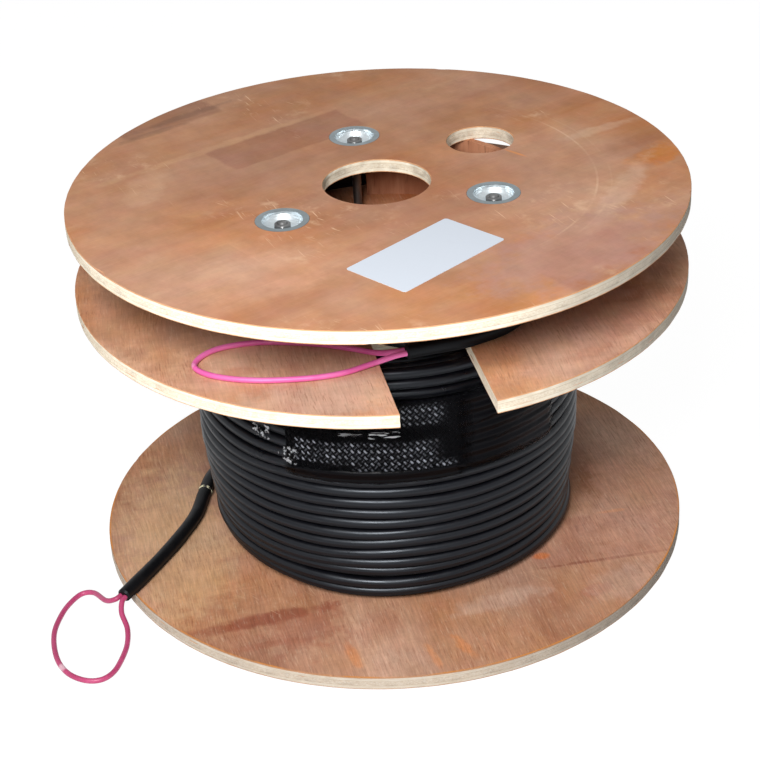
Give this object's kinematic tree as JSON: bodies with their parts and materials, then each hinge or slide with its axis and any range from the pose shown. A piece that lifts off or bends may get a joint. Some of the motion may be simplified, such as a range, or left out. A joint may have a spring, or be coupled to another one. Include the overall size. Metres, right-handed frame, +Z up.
{
  "type": "wooden cable drum",
  "caption": "Plywood cable drum with bottom, notched middle and top flanges on bent cores, tie bolted, wound with black cable whose ends carry pull loops.",
  "frame": {"origin": "centre of the bottom flange's underside, on the drum's axis", "axes": "+Z up along the drum's axis, -Y towards the notch side that faces the viewer, +X to the viewer's right"},
  "size_m": [0.4268, 0.4, 0.2532],
  "materials": {
    "plywood": "bare rotary-cut veneer, pale saw-cut edges",
    "core_plywood": "bare bent plywood",
    "paper": "matt white label, blank",
    "cable_jacket": "satin black jacket",
    "braid": "black monofilament braid with pale glints",
    "film": "clear stretch film",
    "shrink_sleeve": "black shrink sleeve",
    "dark_pull_cord": "dark pink coated cord",
    "bright_pull_cord": "bright pink coated cord",
    "zinc_steel": "bright zinc plate",
    "bolt_steel": "dull zinc plate"
  },
  "bodies": {
    "root": {"bottom_flange": "plywood", "middle_flange": "plywood", "top_flange": "plywood", "main_core": "core_plywood", "upper_core": "core_plywood", "label": "paper", "cable_winding": "cable_jacket", "braided_sleeve": "braid", "stretch_film": "film", "outer_tail": "shrink_sleeve", "outer_pull_loop": "dark_pull_cord", "inner_tail": "shrink_sleeve", "inner_pull_loop": "bright_pull_cord", "tie_bolt_1": "bolt_steel", "nut_1": "bolt_steel", "top_cup_washer_1": "zinc_steel", "bottom_cup_washer_1": "zinc_steel", "tie_bolt_2": "bolt_steel", "nut_2": "bolt_steel", "top_cup_washer_2": "zinc_steel", "bottom_cup_washer_2": "zinc_steel", "tie_bolt_3": "bolt_steel", "nut_3": "bolt_steel", "top_cup_washer_3": "zinc_steel", "bottom_cup_washer_3": "zinc_steel"}
  },
  "joints": []
}
